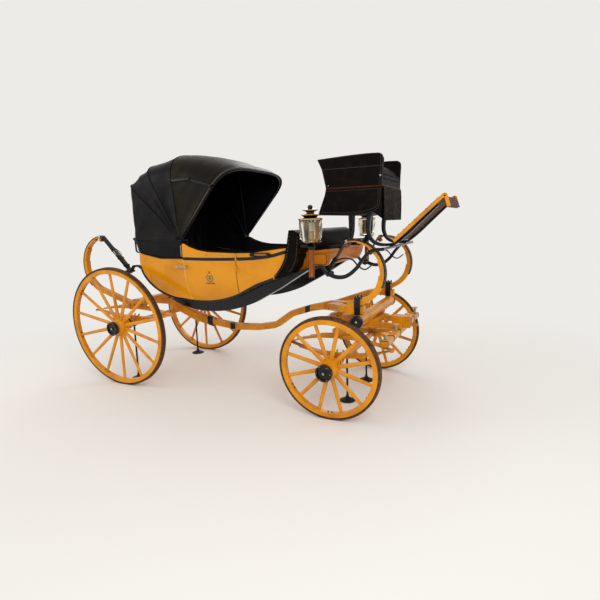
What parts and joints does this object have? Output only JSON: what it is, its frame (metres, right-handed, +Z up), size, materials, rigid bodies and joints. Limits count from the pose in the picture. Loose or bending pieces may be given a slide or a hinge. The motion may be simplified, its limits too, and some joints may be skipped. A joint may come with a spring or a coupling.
{
  "type": "hooded horse carriage",
  "caption": "Open horse carriage with a folding leather hood, body hung by leather braces from C-springs over elliptic springs, driver's seat, lamps, perch and steering fore-carriage.",
  "frame": {"origin": "on the ground at the middle of the length and width", "axes": "+X forward, the way it travels, +Y to its left-hand side, +Z up"},
  "size_m": [3.7382, 1.676, 2.234],
  "materials": {
    "wheel_paint": "yellow gloss coach paint over ash and elm, varnished",
    "tyre_iron": "bare wrought iron with a brown rust skin",
    "cap_black": "black japan over brass",
    "axle_paint": "yellow gloss coach paint",
    "spring_paint": "yellow gloss coach paint on steel leaves",
    "brace_leather": "black-brown harness leather, waxed",
    "perch_paint": "yellow gloss coach paint with black bands",
    "iron_black": "blue-black gloss paint",
    "body_yellow": "yellow coach varnish over wood panels",
    "handle_metal": "worn nickel silver",
    "bench_wood": "dark stained boards",
    "seat_leather": "navy-black leather, soft sheen",
    "hood_leather": "black enamelled hood leather, creased",
    "seat_black": "black box leather with piping",
    "boot_paint": "orange-yellow varnish",
    "lamp_metal": "aged copper and brass, partly black",
    "lamp_glass": "clear glass with ground flutes",
    "stand_iron": "black satin paint"
  },
  "bodies": {
    "carriage": {"axle_stands": "stand_iron", "benches": "bench_wood", "body_irons": "iron_black", "body_tub": "body_yellow", "dash": "seat_black", "door_hinges": "iron_black", "driver_cushion": "seat_black", "driver_seat": "seat_black", "footboard": "seat_black", "front_bolster": "perch_paint", "front_boot": "boot_paint", "front_braces": "brace_leather", "front_c_springs": "spring_paint", "front_transom": "perch_paint", "hood_irons": "iron_black", "hood_leather": "hood_leather", "lamp_glasses": "lamp_glass", "lamps": "lamp_metal", "perch": "perch_paint", "rear_axle": "axle_paint", "rear_braces": "brace_leather", "rear_c_springs": "spring_paint", "rear_elliptic_springs": "spring_paint", "s_irons": "iron_black", "seat_back": "seat_leather", "seat_cushions": "seat_leather", "seat_irons": "iron_black"},
    "fore_carriage": {"front_axle": "axle_paint", "front_elliptic_springs": "spring_paint", "fore_frame": "perch_paint", "splinter_bar": "perch_paint"},
    "door_left": {"door_left": "body_yellow", "door_handle_left": "handle_metal"},
    "door_right": {"door_right": "body_yellow", "door_handle_right": "handle_metal"},
    "hood_bow_front": {"hood_bow_front": "iron_black"},
    "hood_bow_standing": {"hood_bow_standing": "iron_black"},
    "hood_bow_second": {"hood_bow_second": "iron_black"},
    "hood_bow_rear": {"hood_bow_rear": "iron_black"},
    "hood_joint_front": {"hood_joint_front": "iron_black"},
    "hood_joint_rear": {"hood_joint_rear": "iron_black"},
    "rear_wheel_left": {"rear_wheel_left": "wheel_paint", "rear_tyre_left": "tyre_iron", "rear_hub_cap_left": "cap_black"},
    "rear_wheel_right": {"rear_wheel_right": "wheel_paint", "rear_tyre_right": "tyre_iron", "rear_hub_cap_right": "cap_black"},
    "front_wheel_left": {"front_wheel_left": "wheel_paint", "front_tyre_left": "tyre_iron", "front_hub_cap_left": "cap_black"},
    "front_wheel_right": {"front_wheel_right": "wheel_paint", "front_tyre_right": "tyre_iron", "front_hub_cap_right": "cap_black"}
  },
  "joints": [
    {"name": "rear_wheel_left_turn", "type": "hinge", "parent": "carriage", "child": "rear_wheel_left", "pos_m": [-1.22685, 0.7225, 0.59893], "axis": [0, 0.9982, -0.0596], "continuous": true},
    {"name": "rear_wheel_right_turn", "type": "hinge", "parent": "carriage", "child": "rear_wheel_right", "pos_m": [-1.22685, -0.7225, 0.59893], "axis": [0, 0.9982, 0.0596], "continuous": true},
    {"name": "front_wheel_left_turn", "type": "hinge", "parent": "fore_carriage", "child": "front_wheel_left", "pos_m": [1.02815, 0.7225, 0.42724], "axis": [0, 0.9982, -0.0596], "continuous": true},
    {"name": "front_wheel_right_turn", "type": "hinge", "parent": "fore_carriage", "child": "front_wheel_right", "pos_m": [1.02815, -0.7225, 0.42724], "axis": [0, 0.9982, 0.0596], "continuous": true},
    {"name": "steering", "type": "hinge", "parent": "carriage", "child": "fore_carriage", "pos_m": [1.02815, 0, 0.7], "axis": [0, 0, 1], "range_deg": [-35, 35]},
    {"name": "door_left_swing", "type": "hinge", "parent": "carriage", "child": "door_left", "pos_m": [0.12915, 0.597, 1.24], "axis": [0, 0, -1], "range_deg": [0, 80]},
    {"name": "door_right_swing", "type": "hinge", "parent": "carriage", "child": "door_right", "pos_m": [0.12915, -0.597, 1.24], "axis": [0, 0, 1], "range_deg": [0, 80]},
    {"name": "hood_fold", "type": "hinge", "parent": "carriage", "child": "hood_bow_rear", "pos_m": [-0.47485, 0, 1.44], "axis": [0, -1, 0], "range_deg": [0, 35.5], "deforming": ["hood_leather"]},
    {"name": "hood_fold_second", "type": "hinge", "parent": "hood_bow_rear", "child": "hood_bow_second", "pos_m": [-0.47485, 0, 1.44], "axis": [0, -1, 0], "range_deg": [-0.1, 13.7]},
    {"name": "hood_fold_standing", "type": "hinge", "parent": "hood_bow_second", "child": "hood_bow_standing", "pos_m": [-0.47485, 0, 1.44], "axis": [0, -1, 0], "range_deg": [-0.1, 17.7]},
    {"name": "hood_fold_front", "type": "hinge", "parent": "hood_bow_standing", "child": "hood_bow_front", "pos_m": [-0.47485, 0, 1.44], "axis": [0, -1, 0], "range_deg": [-0.1, 39.7]},
    {"name": "hood_joint_front_turn", "type": "hinge", "parent": "hood_bow_front", "child": "hood_joint_front", "pos_m": [-0.08146, 0, 1.90882], "axis": [0, -1, 0], "range_deg": [-22.7, 0.1]},
    {"name": "hood_joint_rear_turn", "type": "hinge", "parent": "hood_bow_standing", "child": "hood_joint_rear", "pos_m": [-0.52191, 0, 1.97795], "axis": [0, -1, 0], "range_deg": [-0.1, 159]}
  ],
  "couplings": [
    {"joint": "hood_fold_second", "follows": "hood_fold", "ratio": 0.38028},
    {"joint": "hood_fold_standing", "follows": "hood_fold", "ratio": 0.49296},
    {"joint": "hood_fold_front", "follows": "hood_fold", "ratio": 1.1127},
    {"joint": "hood_joint_front_turn", "follows": "hood_fold", "ratio": -0.63141},
    {"joint": "hood_joint_rear_turn", "follows": "hood_fold", "ratio": 4.4695}
  ]
}
